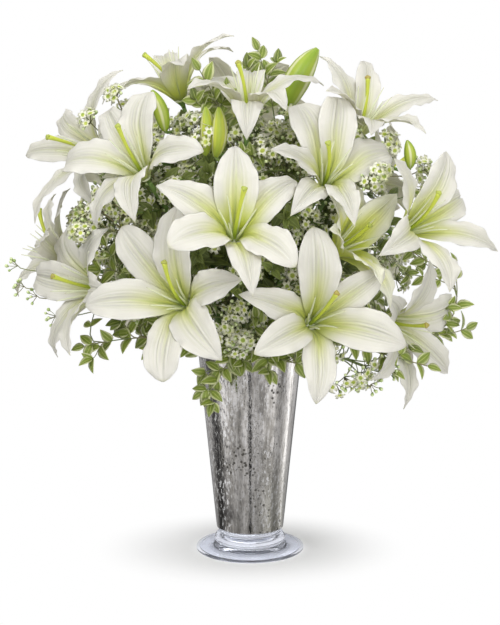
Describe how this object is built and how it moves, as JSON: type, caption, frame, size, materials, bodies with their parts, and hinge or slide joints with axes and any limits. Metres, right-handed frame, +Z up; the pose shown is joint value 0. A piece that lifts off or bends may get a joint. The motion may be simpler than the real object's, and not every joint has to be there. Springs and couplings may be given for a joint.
{
  "type": "lilies in a vase",
  "caption": "Arrangement of open white lilies with buds, wax flowers and leafy sprigs in a tapering silvered glass vase on a clear knopped glass foot.",
  "frame": {"origin": "centre of the underside of the vase's foot", "axes": "+Z up along the vase's axis, -Y towards the front of the arrangement, +X to its right seen from the front"},
  "size_m": [0.4994, 0.4683, 0.5493],
  "materials": {
    "silvered_glass": "silvered, mottled with age",
    "clear_glass": "clear, pressed",
    "water": "clear water",
    "petal": "matt, waxy, green at the throat",
    "stem": "smooth fresh green",
    "wax_flower": "waxy pale green-white",
    "foliage": "waxy, light at the edges"
  },
  "bodies": {
    "root": {"leaf_sprig_01": "foliage", "leaf_sprig_02": "foliage", "leaf_sprig_03": "foliage", "leaf_sprig_04": "foliage", "leaf_sprig_05": "foliage", "leaf_sprig_06": "foliage", "leaf_sprig_07": "foliage", "leaf_sprig_08": "foliage", "leaf_sprig_09": "foliage", "leaf_sprig_10": "foliage", "leaf_sprig_11": "foliage", "leaf_sprig_12": "foliage", "leaf_sprig_13": "foliage", "lily_bloom_01": "petal", "lily_bloom_02": "petal", "lily_bloom_03": "petal", "lily_bloom_04": "petal", "lily_bloom_05": "petal", "lily_bloom_06": "petal", "lily_bloom_07": "petal", "lily_bloom_08": "petal", "lily_bloom_09": "petal", "lily_bloom_10": "petal", "lily_bloom_11": "petal", "lily_bloom_12": "petal", "lily_bloom_13": "petal", "lily_bloom_14": "petal", "lily_bloom_15": "petal", "lily_bloom_16": "petal", "lily_bloom_17": "petal", "lily_bloom_18": "petal", "lily_bloom_19": "petal", "lily_bloom_20": "petal", "lily_stem_a": "stem", "lily_stem_b": "stem", "lily_stem_c": "stem", "lily_stem_d": "stem", "lily_stem_e": "stem", "lily_stem_f": "stem", "lily_stem_g": "stem", "lily_stem_h": "stem", "vase_cup": "silvered_glass", "vase_foot": "clear_glass", "water": "water", "wax_spray_1": "wax_flower", "wax_spray_2": "wax_flower", "wax_spray_3": "wax_flower", "wax_spray_4": "wax_flower", "wax_spray_5": "wax_flower", "wax_spray_6": "wax_flower", "wax_spray_7": "wax_flower", "wax_spray_8": "wax_flower", "wax_spray_9": "wax_flower"}
  },
  "joints": []
}
